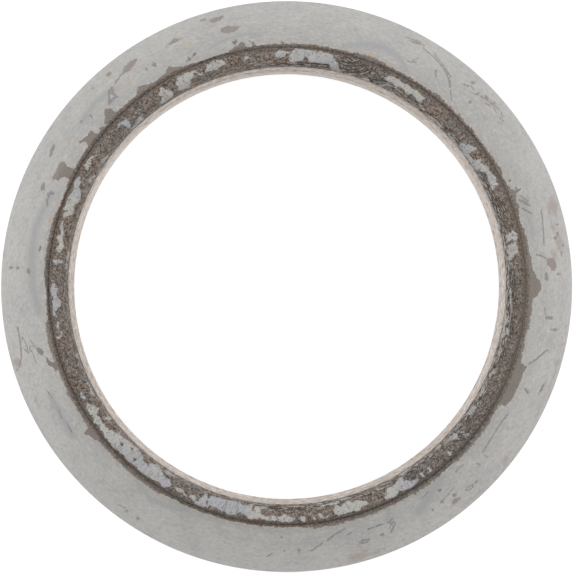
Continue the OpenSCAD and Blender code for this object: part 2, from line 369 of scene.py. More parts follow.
# Chips and pinholes in the coating: angle, radius, half length, half width and tilt
chips = [
    (308.8, 267.8, 2.9, 2.4, 0), (305.8, 265.2, 2.3, 1.7, 0), (308.2, 273, 4.7, 1.7, 5), (353.2, 266, 1.9, 2.9, 0),
    (353.2, 261.8, 1.6, 2.2, 0), (350.8, 271, 1.3, 3.3, 0), (336.5, 262, 1.5, 2.7, 20), (306.9, 255, 1.9, 1.5, 30),
    (269.6, 264.3, 1.3, 1.9, 0), (272.7, 264.6, 1.7, 2.4, 15), (291, 266, 2.0, 1.3, 0), (269, 250.5, 1.5, 1.5, 0),
    (176.1, 276.6, 1.5, 2.4, 0), (176.1, 269.5, 1.2, 1.9, 0), (120.8, 259, 2.3, 2.9, 0), (122.8, 258.8, 1.5, 1.9, 0),
    (130, 277, 2.4, 1.6, 0), (176.6, 258.4, 2.7, 2.4, 0), (11.1, 276, 1.9, 1.7, 0), (10.3, 273.8, 1.6, 2.4, 0),
    (12.9, 277.4, 1.7, 2.0, 0), (6.8, 277.6, 2.9, 1.3, 0), (2.6, 272.5, 1.3, 2.2, 0), (8.4, 279.5, 1.7, 1.3, 0),
    (43.4, 275.4, 3.6, 1.5, 10), (43.9, 273.2, 2.7, 1.2, 0), (41.3, 277.4, 1.9, 1.3, 0), (45.3, 271.3, 1.3, 2.2, 0),
    (47.6, 276.4, 1.6, 1.6, 0), (45.2, 260.5, 1.6, 2.2, 30), (101.9, 249.5, 1.6, 2.3, 20), (102.4, 249.9, 1.3, 1.3, 0),
    (97.9, 246.2, 1.5, 2.0, 0), (98.6, 248.4, 1.3, 1.3, 0), (111.8, 250.2, 2.4, 1.5, -30), (113.2, 247.6, 1.5, 2.2, 0),
    (199.9, 245.2, 1.3, 2.3, 0), (141.2, 263.2, 1.7, 1.7, 0), (139, 258.5, 1.3, 3.0, 10), (171.2, 249.4, 3.6, 1.3, 0),
    (23.2, 249.6, 1.6, 1.3, 0), (25.4, 247.4, 1.3, 1.3, 0), (234.6, 275.3, 2.2, 1.5, 0), (237.4, 275.6, 1.7, 1.2, 0),
    (186.6, 241.5, 1.3, 1.3, 0), (303.2, 266, 1.2, 2.2, 0), (317.2, 261.6, 1.2, 2.7, 0), (319.6, 262, 1.3, 2.7, -25),
]
coat_gone = np.maximum(coat_gone, spot_field(chips))
flake = np.minimum(worn_field(flakes), -worn_field(flake_holes))

rag = 0.13 * grain(surface, 0.55, 2) + 0.10 * grain(surface, 0.28, 3)
coat = np.full(len(turn), -0.6)
coat[on_land] = (flake + rag)[on_land]
coat[on_seat] = (rag * 0.8 - coat_gone)[on_seat]
coat = np.clip(coat, -0.6, 0.6)

# Rubbed areas near the rim, where the coating is thin and the pink-brown body shows through:
# angle, radius, half length, half width and tilt
rubs = [
    (16.8, 278, 10, 5.5, 0), (12.5, 273, 7, 3, -20), (9, 276, 9, 3, 0), (6.5, 270, 6, 3, 0), (42, 274, 10, 3, -15),
    (62, 277, 9, 2, -20), (285, 279, 14, 4.5, 0), (285.8, 271, 2.5, 5, 0), (311.5, 282, 13, 1.3, 0),
    (316, 280.5, 8, 1.2, 20), (321.5, 280, 9, 2, -20), (333, 281, 11, 1.8, -15), (344.7, 281.7, 24, 1.0, 0),
    (308.3, 273.5, 8, 2, 15), (203.8, 275, 12, 1.0, 0), (130, 277, 3, 1.5, 0), (134.2, 278, 2, 1.5, 0),
    (195.9, 279, 4.5, 5, 0), (289, 280, 8, 2.5, 0),
]
rub = np.where(on_seat, spot_field(rubs) + 0.25 * grain(surface, 0.8, 5) + 0.2 * grain(surface, 0.35, 6), -0.8)
rub = np.clip(rub, -0.6, 0.6)

# Rust that has come through the coating
rust_spots = [
    (26.5, 250, 1.2, 3, 0), (39.5, 247, 1, 2.5, 0), (84.8, 261, 1.5, 2, 0), (111.7, 261, 1.3, 5, 0), (127.6, 255.5, 2.2, 1.6, 20),
    (130, 260.8, 2, 1.8, 0), (133.2, 268, 1.5, 1.5, 0), (146, 262.8, 2.2, 2.4, 0), (146.3, 257, 1.2, 1.5, 0),
    (160, 243.5, 4, 1.2, 0), (164, 246, 3, 1.8, 0), (153.3, 261, 1, 1.5, 0), (155.5, 260.5, 1, 1.5, 0),
    (136.5, 279, 1.2, 1.5, 0), (189, 244, 2, 1.5, 0), (65, 246, 4, 1.2, 0), (70, 247, 5, 1, 0),
]
rust = np.clip(spot_field(rust_spots) + 0.1 * grain(surface, 0.4, 9), -0.6, 0.6)

# Scratches and strokes: width in pixels, then the points that the mark runs through
strokes = [
    (1.3, (9.3, 261), (13, 263.4), (16.7, 266)), (2.0, (6.3, 260.5), (6.8, 257), (7.2, 252.5)),
    (1.9, (16.7, 255.5), (18.3, 248.5)), (2.2, (18.5, 256), (20.3, 248.5)), (1.7, (19.6, 256), (21.2, 251)),
    (1.2, (48.5, 249.4), (50, 255.5)), (2.4, (50.8, 258.5), (51.6, 262.5)), (1.6, (51.6, 262.5), (53, 266.5), (54.5, 269.3)),
    (1.2, (54.5, 269.3), (57, 272.5), (60, 275)), (0.9, (52, 267), (54.5, 271.5), (57.5, 276)),
    (2.0, (54.7, 258.5), (55.3, 262.5)), (1.0, (60, 259), (61.7, 256)), (0.8, (40, 277), (42, 274.8), (44.5, 272)),
    (1.6, (111.3, 251), (112.4, 248), (113.8, 247)), (0.9, (60.5, 278), (62.5, 275.5)), (0.9, (61.5, 279), (64.5, 277)),
    (2.4, (131.3, 265), (132, 259.5), (131.8, 255)), (2.0, (132.2, 264.5), (134.2, 255.3)), (2.6, (131.8, 255.8), (134.2, 255)),
    (1.8, (188.8, 272.2), (190.8, 271.8), (193, 272.8), (195, 274.6)), (1.4, (195, 274.6), (196.7, 279), (197.2, 282)),
    (1.2, (191, 268.5), (193, 266.6), (194.3, 266.5)), (1.2, (193.8, 269), (194.4, 267)), (1.1, (192, 261.5), (193.3, 259.5)),
    (1.1, (193.3, 264), (195, 262.5), (196.8, 262)), (1.0, (203.7, 261), (205.3, 260)), (1.0, (208.5, 259), (210.2, 260.5)),
    (1.0, (212, 258.5), (214, 259.5)), (1.6, (275.5, 265), (277.7, 259.5)),
    (2.1, (279.3, 256.6), (281, 252.6), (283.3, 249.5)), (1.6, (288.6, 256), (289.7, 256)), (1.6, (290.6, 256), (291.8, 256)),
    (1.6, (293.1, 262.4), (293.8, 259.6), (294.5, 258.6)), (1.5, (293.2, 256.8), (294.3, 255.4)), (1.4, (266, 270), (266.8, 267.6)),
    (1.2, (283.8, 255.8), (284.7, 254.2)), (1.3, (312.4, 251.2), (313.4, 249.6), (314.6, 251.0)),
    (1.2, (311.4, 271.5), (311.9, 273.6), (312.9, 273.9), (313.2, 272.2), (312.6, 270.6), (311.8, 270.5), (311.4, 271.5)),
    (1.3, (286, 266.5), (286.5, 268.2), (287.6, 268), (288, 266.3), (287.3, 264.6), (286.3, 265), (286, 266.5)),
    (1.5, (320, 256.7), (322, 255.3), (324.7, 254.5), (327.7, 254.2), (329.8, 255.5)),
    (1.9, (342.3, 254.5), (343.7, 260), (346.2, 267.8)), (2.2, (158.3, 251.5), (158.8, 256)), (1.8, (158.2, 254), (160.3, 254.8), (161.2, 252.5)),
    (1.0, (306, 265), (309.5, 262)), (1.0, (286.4, 266.8), (287.4, 265)), (0.9, (232.4, 275.5), (233.8, 274)),
    (0.9, (353, 261.5), (355, 259.3)), (1.1, (302.8, 251), (304.5, 249.5)), (1.0, (60.3, 263), (61, 259)),
    (1.6, (48.6, 269.6), (48.0, 270.4)), (1.4, (47.3, 272.8), (46.6, 272.2)), (1.3, (45.9, 269.2), (45.5, 270)),
    (1.5, (42.4, 271.2), (41.8, 272)), (1.4, (40.6, 273.8), (39.9, 273)), (1.2, (38.9, 276.2), (38.4, 275.6)),
    (1.3, (38.2, 272.2), (37.6, 272.6)),
]
stroke = np.full(len(turn), 8.0)
stroke_near = np.zeros(len(turn))
for width, *path in strokes:
    corners, x, near = near_outline(path, 4.0)
    x, y = x[near], seen_r[near]
    for ox, oy, (ax, ay, bx, by, dx, dy) in side_distances(x, y, corners, closed=False):
        distance = np.hypot(ox, oy)
        across = ((x - ax) * dy - (y - ay) * dx) / math.hypot(dx, dy) / (width / 2)
        nearness = np.clip(1 - distance / 3.2, 0, 1)
        better = nearness > stroke_near[near]
        stroke[near] = np.where(better, np.clip(across, -8, 8), stroke[near])
        stroke_near[near] = np.maximum(stroke_near[near], nearness)

# Bluish smudges that curve round paler places by the crease
smudges = [
    (6.0, (60.5, 246), (63.3, 254.5), (67.7, 258.3), (71.7, 255.5), (76.5, 247.5)),
    (8.0, (158.5, 252), (163, 255.5), (167, 257.5), (173, 256.5), (180, 253.5), (186, 248.5)),
    (4.5, (232.3, 246), (236, 250), (238, 254)), (5.0, (238, 251), (242, 250), (246, 244.5)), (5.5, (294.5, 245.5), (293.4, 254)),
    (9.0, (300.5, 261), (304.5, 254), (308.3, 247)), (3.5, (96, 252), (98.5, 256.5), (104, 254.5), (108, 250)),
    (6.0, (131, 262), (136, 266), (141, 263)), (6.0, (12, 252), (19, 251)), (7.0, (205, 259), (215, 260)),
]
smudge = np.zeros(len(turn))
for width, *path in smudges:
    corners, x, near = near_outline(path, width * 1.5)
    for ox, oy, _ in side_distances(x[near], seen_r[near], corners, closed=False):
        smudge[near] = np.maximum(smudge[near], np.exp(-(ox**2 + oy**2) / (width / 2) ** 2))
smudge[~on_seat] = 0

# Strands of wire that show on the neck, each as the points that it runs through
wire_paths = [
    ((14.6, 226.5), (16.2, 225), (18.8, 222.4), (21, 221.7), (23.5, 223.3), (25, 225)),
    ((19.0, 231.6), (20.2, 230.6), (21.4, 229.4), (22.6, 228.2)), ((19.2, 229.6), (20.4, 228.4), (22.3, 226.8)),
    ((19.8, 227.4), (21.3, 226.0), (23.0, 225.4)), ((24.6, 223.4), (26, 224.4), (27.6, 223.8), (29.2, 221.6)),
    ((24.2, 225.8), (26, 227.0), (28, 226.1), (29.4, 224.0), (30.6, 222.0)),
    ((40.4, 225.8), (41.6, 224.8), (43.0, 225.4)), ((61.2, 228.6), (63.8, 225.4), (66.2, 221.4)),
    ((62.4, 229.2), (64.9, 225.9), (67.4, 221.6)), ((262.0, 219.9), (265.0, 220.3), (268.4, 220.2)),
    ((276.5, 221.2), (279.5, 220.6), (283.0, 219.6)), ((352.6, 221.6), (355.2, 221.0), (357.8, 221.3)),
    ((68.6, 233.0), (69.4, 229.4), (70.6, 226.0), (72.6, 223.2), (75.0, 221.8)),
    ((70.4, 233.6), (71.0, 230.2), (72.2, 226.8), (74.2, 224.4), (76.4, 223.6)),
    ((70.8, 236.4), (72.0, 233.6), (73.6, 231.2), (75.4, 230.4), (76.8, 231.4)),
    ((72.2, 238.0), (73.2, 236.4), (74.4, 238.0)), ((73.0, 236.2), (74.0, 234.6), (75.2, 236.4)),
    ((79.6, 224.6), (81.2, 223.6), (83.0, 224.2), (84.8, 223.4), (86.6, 224.0), (88.6, 223.2)),
    ((80.2, 222.6), (82.0, 222.0), (84.0, 222.4), (86.0, 221.6), (88.0, 222.0)),
    ((319.2, 222.6), (319.8, 227.0), (320.5, 231.4), (321.0, 235.6)), ((321.6, 231.6), (322.6, 228.6), (323.4, 225.2)),
    ((342.4, 228.8), (343.6, 226.8), (344.2, 224.2), (345.2, 222.4)),
    ((348.2, 229.4), (349.6, 228.8), (351.0, 227.2)), ((349.6, 226.2), (350.8, 226.3), (352.9, 225.4)),
    ((347.6, 225.0), (349.0, 223.2), (350.2, 222.6)), ((356.6, 228.0), (358.4, 228.6), (360.2, 228.0)),
    ((360.8, 227.2), (362.4, 226.6), (364.0, 226.9)), ((357.6, 224.8), (359.2, 225.6), (360.6, 224.9)),
    ((361.2, 223.4), (363.0, 222.9), (364.2, 221.8)),
]


def smooth_path(corners, steps):
    """Points on the smooth curve through some corners: between two corners it is a cubic, and at
    each corner it points from the corner before towards the corner after."""
    corners = np.array(corners, float)
    ends = np.concatenate([[2 * corners[0] - corners[1]], corners, [2 * corners[-1] - corners[-2]]])
    t = np.linspace(0, 1, steps, endpoint=False)[:, None]
    curves = [b + t / 2 * (c - a + t * (2 * a - 5 * b + 4 * c - d + t * (3 * b - 3 * c + d - a)))
              for a, b, c, d in zip(ends, ends[1:], ends[2:], ends[3:])]
    return np.concatenate(curves + [corners[-1:]])


wire_r = 0.08
# Painted shade beside each wire strand: a dark band just outside the wire's edge
wire_gap = np.zeros(len(turn))
for path in wire_paths:
    corners, x, near = near_outline(smooth_path(path, 4), 5.0)
    for ox, oy, _ in side_distances(x[near], seen_r[near], corners, closed=False):
        beside = (np.hypot(ox, oy) * px - 1.9 * wire_r) / wire_r
        wire_gap[near] = np.maximum(wire_gap[near], np.exp(-beside**2))
# Sooty hollows in the filler: angle, radius, half length, half width and tilt
hollows = [
    (199.3, 236.2, 3.5, 2.2, 0), (344.2, 225, 5, 1.4, -20), (352, 226, 9, 2.0, 0), (44.5, 224.3, 15, 1.8, 0),
    (18, 226.5, 11, 2.4, 0), (325, 227, 11, 3.0, 0), (304, 226, 8, 3.0, 0), (4, 224, 9, 2.0, 0), (336, 224, 8, 1.6, 0),
]
wire_gap = np.maximum(wire_gap, 0.6 * np.clip(spot_field(hollows) / 0.2 + 0.3 * grain(surface, 0.4, 12), 0, 1))
wire_gap[~on_land] = 0

# The worn body lies a little below the coating and is grainy
bare = np.clip(0.5 - coat / 0.10, 0, 1)
rough_body = np.abs(grain(surface, 0.45, 7)) * 0.6 + np.abs(grain(surface, 0.24, 8)) * 0.6
sink = np.zeros(len(turn))
sink[on_land] = (0.03 + bare * (0.04 + 0.17 * rough_body) + 0.06 * wire_gap)[on_land]
seat_grain = np.interp(seen_r, [243, 250], [1.0, 0.25])
sink[on_seat] = (bare * (0.04 + 0.10 * rough_body * seat_grain))[on_seat]
sink[on_seat] += (0.05 * stroke_near * np.clip(1.5 - np.abs(stroke), 0, 1))[on_seat]
sink[place == "bore"] = (0.03 + 0.03 * rough_body)[place == "bore"]
sink[place == "crease"] = (0.05 * rough_body)[place == "crease"]
sink[place == "base"] = (0.05 + 0.08 * rough_body)[place == "base"]
points = (surface - outward * sink[:, None]) * MM

quads, triangles = [], []
for row in range(len(section)):
    after = (row + 1) % len(section)
    here, there = row_first[row], row_first[after]
    count, count_after = row_columns[row], row_columns[after]
    j = np.arange(min(count, count_after))
    if count == count_after:
        k = (j + 1) % count
        quads.append(np.stack([here + j, there + j, there + k, here + k], axis=1))
    elif count > count_after:
        k, a = (j + 1) % count_after, (2 * j + 2) % count
        triangles.append(np.stack([here + 2 * j, there + j, here + 2 * j + 1], axis=1))
        triangles.append(np.stack([here + 2 * j + 1, there + j, there + k], axis=1))
        triangles.append(np.stack([here + 2 * j + 1, there + k, here + a], axis=1))
    else:
        k, b = (j + 1) % count, (2 * j + 2) % count_after
        triangles.append(np.stack([here + j, there + 2 * j, there + 2 * j + 1], axis=1))
        triangles.append(np.stack([here + j, there + 2 * j + 1, here + k], axis=1))
        triangles.append(np.stack([here + k, there + 2 * j + 1, there + b], axis=1))
quads, triangles = np.concatenate(quads), np.concatenate(triangles)

ring_mesh = bpy.data.meshes.new("pressed_ring")
ring_mesh.vertices.add(len(points))
ring_mesh.vertices.foreach_set("co", points.astype(np.float32).ravel())
ring_mesh.loops.add(quads.size + triangles.size)
ring_mesh.loops.foreach_set("vertex_index", np.concatenate([quads.ravel(), triangles.ravel()]).astype(np.int32))
ring_mesh.polygons.add(len(quads) + len(triangles))
loop_start = np.concatenate([4 * np.arange(len(quads)), quads.size + 3 * np.arange(len(triangles))])
ring_mesh.polygons.foreach_set("loop_start", loop_start.astype(np.int32))
ring_mesh.update(calc_edges=True)
ring_mesh.shade_smooth()
point_values = {
    "coat": coat, "rub": rub, "rust": rust, "stroke": stroke, "stroke_near": stroke_near, "smudge": smudge,
    "wire_gap": wire_gap, "along": row_s[row_of],
}
for name, values in point_values.items():
    ring_mesh.attributes.new(name, "FLOAT", "POINT").data.foreach_set("value", values.astype(np.float32))
ring = bpy.data.objects.new("pressed_ring", ring_mesh)
bpy.context.scene.collection.objects.link(ring)
print("triangles", 2 * len(quads) + len(triangles), "faults", ring_mesh.validate())


def srgb(red, green, blue):
    """A colour given as it looks on a screen, from 0 to 255, in the linear values that nodes take."""
    c = np.array([red, green, blue]) / 255
    c = np.where(c <= 0.04045, c / 12.92, ((c + 0.055) / 1.055) ** 2.4)
    return (*c.tolist(), 1.0)


class Paint:
    """A material's nodes, added by short calls that return the output socket."""

    def __init__(self, name):
        self.material = bpy.data.materials.new(name)
        self.material.use_nodes = True
        self.tree = self.material.node_tree
        self.shader = self.tree.nodes["Principled BSDF"]

    def add(self, kind, inputs, **settings):
        node = self.tree.nodes.new(kind)
        for key, value in settings.items():
            setattr(node, key, value)
        for key, value in inputs.items():
            if isinstance(value, bpy.types.NodeSocket):
                self.tree.links.new(value, node.inputs[key])
            else:
                node.inputs[key].default_value = value
        return node

    def attribute(self, name):
        return self.add("ShaderNodeAttribute", {}, attribute_name=name).outputs["Fac"]

    def calc(self, operation, a, b=0.0, c=0.0):
        return self.add("ShaderNodeMath", {0: a, 1: b, 2: c}, operation=operation).outputs[0]

    def noise(self, where, scale, detail=2.0, rough=0.5, distortion=0.0):
        inputs = {"Vector": where, "Scale": scale, "Detail": detail, "Roughness": rough, "Distortion": distortion}
        return self.add("ShaderNodeTexNoise", inputs).outputs["Fac"]

    def spread(self, value, low, high, to_low=0.0, to_high=1.0):
        inputs = {"Value": value, "From Min": low, "From Max": high, "To Min": to_low, "To Max": to_high}
        return self.add("ShaderNodeMapRange", inputs, interpolation_type="SMOOTHSTEP").outputs["Result"]

    def mix(self, share, a, b, blend="MIX"):
        inputs = {0: share, 6: a, 7: b}
        node = self.add("ShaderNodeMix", inputs, data_type="RGBA", blend_type=blend)
        return node.outputs[2]


coated = Paint("coated_mesh")
where = coated.add("ShaderNodeTexCoord", {}).outputs["Object"]
where = coated.add("ShaderNodeVectorMath", {0: where, 3: 1000.0}, operation="SCALE").outputs[0]
xyz = coated.add("ShaderNodeSeparateXYZ", {0: where}).outputs
flat_xy = coated.add("ShaderNodeCombineXYZ", {"X": xyz["X"], "Y": xyz["Y"], "Z": 0.0}).outputs[0]
plan = coated.add("ShaderNodeVectorMath", {0: flat_xy}, operation="LENGTH").outputs["Value"]
along = coated.attribute("along")
unit = coated.add("ShaderNodeVectorMath", {0: flat_xy}, operation="NORMALIZE").outputs[0]
unit_xy = coated.add("ShaderNodeSeparateXYZ", {0: unit}).outputs


def wrapped(round_share, section_share):
    """Coordinates on the ring's surface: millimetres round the ring and along its section, each
    times a share, so that noise on them is drawn out round the ring or along the section."""
    return coated.add("ShaderNodeCombineXYZ", {
        "X": coated.calc("MULTIPLY", unit_xy["X"], 34 * round_share),
        "Y": coated.calc("MULTIPLY", unit_xy["Y"], 34 * round_share),
        "Z": coated.calc("MULTIPLY", along, section_share),
    }).outputs[0]


edge_noise = coated.calc("SUBTRACT", coated.noise(where, 3.5, 4.0, 0.75), 0.5)
coat_left = coated.calc("MULTIPLY_ADD", edge_noise, 0.75, coated.attribute("coat"))
on_neck = coated.spread(plan, 32.8, 32.7)
fine_noise = coated.calc("SUBTRACT", coated.noise(where, 6.5, 3.0, 0.7), 0.5)
pinholes = coated.spread(coated.noise(where, 2.4, 2.0, 0.6), 0.36, 0.31, 0.0, -0.3)
pinholes = coated.calc("MULTIPLY", on_neck, coated.calc("MULTIPLY_ADD", fine_noise, 0.55, pinholes))
coat_left = coated.calc("ADD", coat_left, pinholes)
edge_soft = coated.spread(plan, 34.6, 36.0, 0.035, 0.09)
has_coat = coated.spread(coat_left, coated.calc("MULTIPLY", edge_soft, -1.0), edge_soft)
rub_noise = coated.calc("SUBTRACT", coated.noise(where, 2.6, 4.0, 0.75), 0.5)
rubbed = coated.spread(coated.calc("MULTIPLY_ADD", rub_noise, 1.6, coated.attribute("rub")), -0.08, 0.25, 0.0, 0.85)

# The coating: warm grey, with painted light towards the rim and painted shade, darker and cooler,
# towards the crease; bluish smudges, wipe marks round the ring, fine dark and pale specks, and paler broken edges
around_lines = coated.noise(wrapped(0.16, 3.2), 1.0, 4.0, 0.65)
clouds = coated.noise(where, 0.16, 4.0, 0.6)
mottle = coated.noise(where, 1.7, 5.0, 0.75)
specks = coated.noise(where, 4.2, 3.0, 0.7)
patches = coated.noise(where, 0.5, 3.0, 0.6)
grey = coated.mix(coated.spread(clouds, 0.38, 0.64), srgb(183, 181, 176), srgb(173, 172, 170))
# Painted light: the coating is paler towards the rim
grey = coated.mix(coated.spread(plan, 37.3, 40.0, 0.0, 0.4), grey, srgb(187, 185, 182))
# Painted shade: darker and cooler towards the crease, more so on the +Y side
crease_shade = coated.spread(unit_xy["Y"], -0.2, 0.6, 0.36, 0.50)
grey = coated.mix(coated.calc("MULTIPLY", crease_shade, coated.spread(plan, 34.6, 38.0, 1.0, 0.0)), grey, srgb(156, 155, 153))
grey = coated.mix(coated.spread(plan, 33.4, 34.4, 0.6, 0.0), grey, srgb(158, 151, 144))
# Painted shade on the +Y side of the coating, and painted light on its -X side
grey = coated.mix(coated.spread(unit_xy["Y"], 0.3, 1.0, 0.0, 0.22), grey, srgb(166, 165, 164))
grey = coated.mix(coated.spread(unit_xy["X"], -0.7, -1.0, 0.0, 0.2), grey, srgb(198, 196, 193))
grey = coated.mix(coated.spread(patches, 0.44, 0.34, 0.0, 0.45), grey, srgb(160, 160, 163))
grey = coated.mix(coated.spread(patches, 0.56, 0.68, 0.0, 0.35), grey, srgb(191, 188, 182))
grey = coated.mix(coated.spread(around_lines, 0.5, 0.8, 0.0, 0.4), grey, srgb(154, 154, 154))
grey = coated.mix(coated.spread(mottle, 0.34, 0.5, 0.55, 0.0), grey, srgb(148, 145, 143))
grey = coated.mix(coated.spread(mottle, 0.52, 0.66, 0.0, 0.5), grey, srgb(198, 196, 192))
smudged = coated.calc("MULTIPLY", coated.attribute("smudge"), coated.spread(mottle, 0.3, 0.6, 0.25, 0.8))
grey = coated.mix(smudged, grey, srgb(150, 152, 155))
grey = coated.mix(coated.spread(specks, 0.60, 0.72, 0.0, 0.6), grey, srgb(132, 127, 123))
grey = coated.mix(coated.spread(specks, 0.38, 0.28, 0.0, 0.5), grey, srgb(204, 201, 196))
pale_edge = coated.calc("MULTIPLY", has_coat, coated.spread(coat_left, 0.02, 0.16, 0.3, 0.0))
grey = coated.mix(pale_edge, grey, srgb(204, 200, 194))
grey = coated.mix(rubbed, grey, srgb(164, 151, 144))
rusty = coated.calc("MULTIPLY_ADD", edge_noise, 0.5, coated.attribute("rust"))
grey = coated.mix(coated.spread(rusty, -0.1, 0.1, 0.0, 0.6), grey, srgb(184, 156, 130))
stroke_width = coated.calc("MULTIPLY_ADD", edge_noise, 2.6, 0.95)
on_stroke = coated.calc("SUBTRACT", stroke_width, coated.calc("ABSOLUTE", coated.attribute("stroke")))
on_stroke = coated.calc("MULTIPLY", coated.spread(on_stroke, -0.25, 0.25), coated.spread(coated.attribute("stroke_near"), 0.45, 0.6))
stroke_dots = coated.spread(fine_noise, -0.03, 0.05, 0.3, 1.0)
grey = coated.mix(coated.calc("MULTIPLY", on_stroke, stroke_dots), grey, srgb(118, 110, 105))

# The flakes on the neck: the same coating, cooler, with strands of wire showing through
across_lines = coated.noise(wrapped(2.4, 0.7), 1.0, 3.0, 0.6)
chip = coated.mix(coated.spread(clouds, 0.42, 0.6), srgb(173, 171, 167), srgb(161, 162, 167))
chip = coated.mix(coated.spread(across_lines, 0.52, 0.68, 0.0, 0.6), chip, srgb(122, 117, 113))
chip = coated.mix(coated.spread(across_lines, 0.42, 0.3, 0.0, 0.5), chip, srgb(186, 183, 178))
chip = coated.mix(coated.spread(mottle, 0.42, 0.32, 0.0, 0.8), chip, srgb(112, 105, 100))
chip = coated.mix(coated.spread(fine_noise, 0.06, 0.15, 0.0, 0.7), chip, srgb(126, 121, 117))
chip = coated.mix(coated.spread(fine_noise, -0.06, -0.15, 0.0, 0.6), chip, srgb(192, 190, 187))
chip = coated.mix(coated.spread(specks, 0.57, 0.66, 0.0, 0.9), chip, srgb(92, 84, 78))
chip = coated.mix(coated.calc("MULTIPLY", pale_edge, 0.8), chip, srgb(190, 187, 182))
grey = coated.mix(on_neck, grey, chip)

# The bare body: smooth and brown where the die rubbed it on the sealing face, and grainy on the
# neck, where grains of filler lie between the wires
grain_big = coated.noise(where, 0.9, 3.0, 0.6)
grain_mid = coated.noise(where, 2.6, 3.0, 0.7)
grain_small = coated.noise(where, 5.5, 3.0, 0.7)
smooth_brown = coated.mix(coated.spread(plan, 34.3, 36.2), srgb(128, 119, 112), srgb(156, 147, 142))
smooth_brown = coated.mix(coated.spread(mottle, 0.4, 0.6, 0.0, 0.5), smooth_brown, srgb(140, 132, 126))
smooth_brown = coated.mix(coated.spread(specks, 0.58, 0.7, 0.0, 0.4), smooth_brown, srgb(110, 101, 94))
brown = coated.mix(coated.spread(clouds, 0.42, 0.58), srgb(121, 109, 99), srgb(110, 104, 99))
brown = coated.mix(coated.spread(grain_big, 0.46, 0.62, 0.0, 0.8), brown, srgb(129, 110, 96))
sooty_side = coated.calc("MULTIPLY_ADD", unit_xy["X"], 0.82, coated.calc("MULTIPLY", unit_xy["Y"], -0.57))
brown = coated.mix(coated.spread(sooty_side, 0.7, 0.95, 0.0, 0.5), brown, srgb(98, 93, 89))
brown = coated.mix(coated.spread(grain_mid, 0.52, 0.38, 0.0, 0.95), brown, srgb(66, 58, 52))
brown = coated.mix(coated.spread(grain_mid, 0.54, 0.68, 0.0, 0.8), brown, srgb(156, 147, 140))
brown = coated.mix(coated.spread(grain_small, 0.53, 0.63, 0.0, 0.95), brown, srgb(60, 53, 48))
brown = coated.mix(coated.spread(grain_small, 0.44, 0.34, 0.0, 0.8), brown, srgb(166, 158, 151))
# Wires between the grains, along the lines where a slow swirling noise is halfway, with painted shade at their sides
swirl = coated.calc("ABSOLUTE", coated.calc("SUBTRACT", coated.noise(where, 0.75, 2.0, 0.5, 1.8), 0.5))
strand = coated.calc("MULTIPLY", coated.spread(swirl, 0.016, 0.008), coated.spread(patches, 0.45, 0.55, 0.0, 0.65))
strand_gap_shade = coated.calc("MULTIPLY", coated.spread(swirl, 0.035, 0.02), coated.spread(patches, 0.45, 0.55, 0.0, 0.6))
brown = coated.mix(strand_gap_shade, brown, srgb(66, 59, 54))
brown = coated.mix(strand, brown, srgb(160, 154, 148))
granular = coated.calc("MAXIMUM", coated.spread(plan, 33.05, 33.55, 1.0, 0.15), coated.spread(xyz["Z"], 0.5, 0.3))
body = coated.mix(granular, smooth_brown, brown)
# Painted shade: a dark brown band in the crease, which reaches farther out on the -X side
crease_shade_reach = coated.spread(unit_xy["X"], 0.3, -0.4, 33.15, 33.35)
crease_dark = coated.calc("MULTIPLY", coated.spread(plan, 31.9, 32.55), coated.spread(plan, crease_shade_reach, 32.9))
body = coated.mix(coated.calc("MULTIPLY", crease_dark, 0.42), body, srgb(76, 67, 60))
# Painted light: the crease is paler on the +X side, against the shade of its groove
crease_painted_light = coated.calc("MULTIPLY", coated.spread(plan, 32.5, 32.65), coated.spread(plan, 33.05, 32.9))
crease_painted_light = coated.calc("MULTIPLY", crease_painted_light, coated.spread(unit_xy["X"], 0.75, 0.97, 0.0, 0.3))
body = coated.mix(crease_painted_light, body, srgb(150, 136, 124))
# Painted shade in the gaps beside the wire strands, and the sooty hollows, darken the body
body = coated.mix(coated.calc("MULTIPLY", coated.attribute("wire_gap"), 0.6), body, srgb(62, 55, 50))

# The bore: rubbed by the pipe, with fine marks round it; its pale pinkish brown is partly its own colour and partly
# painted reflection of the white surroundings
bore_lines = coated.noise(wrapped(0.12, 4.0), 1.0, 4.0, 0.65)
bore_bands = coated.noise(wrapped(0.05, 0.55), 1.0, 3.0, 0.6)
# Painted light: the bore wall is paler on its +Y side
lit_side = coated.spread(coated.calc("MULTIPLY_ADD", unit_xy["X"], 0.4, unit_xy["Y"]), -0.5, 0.7)
bore_pale = coated.mix(lit_side, srgb(211, 204, 198), srgb(231, 223, 217))
bore_wall = coated.mix(coated.spread(bore_lines, 0.38, 0.62, 0.0, 0.85), bore_pale, srgb(188, 178, 170))
bore_wall = coated.mix(coated.spread(bore_bands, 0.5, 0.62, 0.0, 0.45), bore_wall, srgb(180, 170, 162))
bore_wall = coated.mix(coated.spread(bore_bands, 0.5, 0.38, 0.0, 0.5), bore_wall, srgb(240, 233, 228))
bore_wall = coated.mix(coated.spread(patches, 0.4, 0.6, 0.0, 0.4), bore_wall, srgb(208, 194, 183))
bore_wall = coated.mix(coated.spread(xyz["Z"], 9.0, 14.0, 0.0, 0.4), bore_wall, srgb(176, 167, 159))
bore_knit = coated.noise(wrapped(1.1, 0.7), 1.0, 3.0, 0.7)
bore_wall = coated.mix(coated.spread(bore_knit, 0.54, 0.68, 0.0, 0.95), bore_wall, srgb(136, 125, 116))
bore_wall = coated.mix(coated.spread(bore_knit, 0.48, 0.34, 0.0, 0.75), bore_wall, srgb(250, 244, 239))
bore_wall = coated.mix(coated.spread(specks, 0.62, 0.74, 0.0, 0.5), bore_wall, srgb(140, 128, 118))
